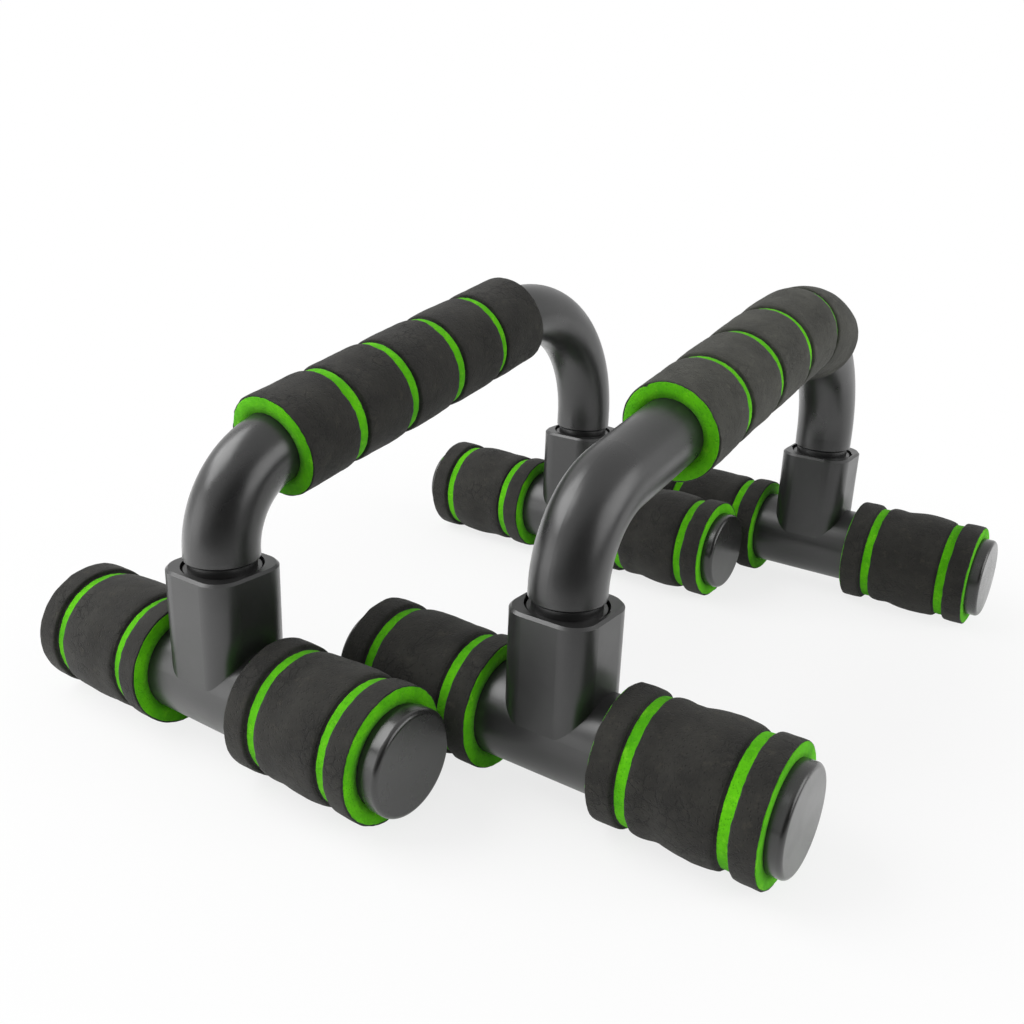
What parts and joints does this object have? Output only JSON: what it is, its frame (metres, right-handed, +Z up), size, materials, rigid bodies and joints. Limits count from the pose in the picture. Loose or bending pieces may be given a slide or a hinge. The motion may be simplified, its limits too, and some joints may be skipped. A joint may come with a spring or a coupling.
{
  "type": "parallette bar pair",
  "caption": "Pair of low parallette bars: bent handle tubes with a banded foam grip, twist-on tee feet, foam sleeves and end caps.",
  "frame": {"origin": "on the floor, midway between the two bars", "axes": "+Z up, +Y along the handles towards their higher end, +X along the feet towards the right bar"},
  "size_m": [0.2678, 0.3144, 0.1466],
  "materials": {
    "tube_grey": "satin dark grey, smooth",
    "moulded_black": "satin black moulded plastic, glossier on the end caps",
    "foam_green": "bright green closed-cell foam, matt",
    "foam_black": "black closed-cell foam, matt, fine pores"
  },
  "bodies": {
    "right_handle": {"right_handle_tube": "tube_grey", "right_grip_core": "foam_green", "right_grip_bands": "foam_black", "right_front_spigot": "moulded_black", "right_rear_spigot": "moulded_black"},
    "right_front_base": {"right_front_foot": "moulded_black", "right_front_left_core": "foam_green", "right_front_left_bands": "foam_black", "right_front_left_cap": "moulded_black", "right_front_right_core": "foam_green", "right_front_right_bands": "foam_black", "right_front_right_cap": "moulded_black"},
    "right_rear_base": {"right_rear_foot": "moulded_black", "right_rear_left_core": "foam_green", "right_rear_left_bands": "foam_black", "right_rear_left_cap": "moulded_black", "right_rear_right_core": "foam_green", "right_rear_right_bands": "foam_black", "right_rear_right_cap": "moulded_black"},
    "left_handle": {"left_handle_tube": "tube_grey", "left_grip_core": "foam_green", "left_grip_bands": "foam_black", "left_front_spigot": "moulded_black", "left_rear_spigot": "moulded_black"},
    "left_front_base": {"left_front_foot": "moulded_black", "left_front_left_core": "foam_green", "left_front_left_bands": "foam_black", "left_front_left_cap": "moulded_black", "left_front_right_core": "foam_green", "left_front_right_bands": "foam_black", "left_front_right_cap": "moulded_black"},
    "left_rear_base": {"left_rear_foot": "moulded_black", "left_rear_left_core": "foam_green", "left_rear_left_bands": "foam_black", "left_rear_left_cap": "moulded_black", "left_rear_right_core": "foam_green", "left_rear_right_bands": "foam_black", "left_rear_right_cap": "moulded_black"}
  },
  "joints": [
    {"name": "left_bar_apart", "type": "slide", "parent": "right_handle", "child": "left_handle", "axis": [-1, 0, 0], "range_m": [0, 0.3]},
    {"name": "right_front_foot_turn", "type": "hinge", "parent": "right_handle", "child": "right_front_base", "pos_m": [0.05225, -0.0891, 0.05], "axis": [0, 0, 1], "range_deg": [-90, 0]},
    {"name": "right_rear_foot_turn", "type": "hinge", "parent": "right_handle", "child": "right_rear_base", "pos_m": [0.05225, 0.1349, 0.05], "axis": [0, 0, 1], "range_deg": [-90, 0]},
    {"name": "left_front_foot_turn", "type": "hinge", "parent": "left_handle", "child": "left_front_base", "pos_m": [-0.05225, -0.1349, 0.05], "axis": [0, 0, 1], "range_deg": [-90, 0]},
    {"name": "left_rear_foot_turn", "type": "hinge", "parent": "left_handle", "child": "left_rear_base", "pos_m": [-0.05225, 0.0891, 0.05], "axis": [0, 0, 1], "range_deg": [-90, 0]}
  ]
}
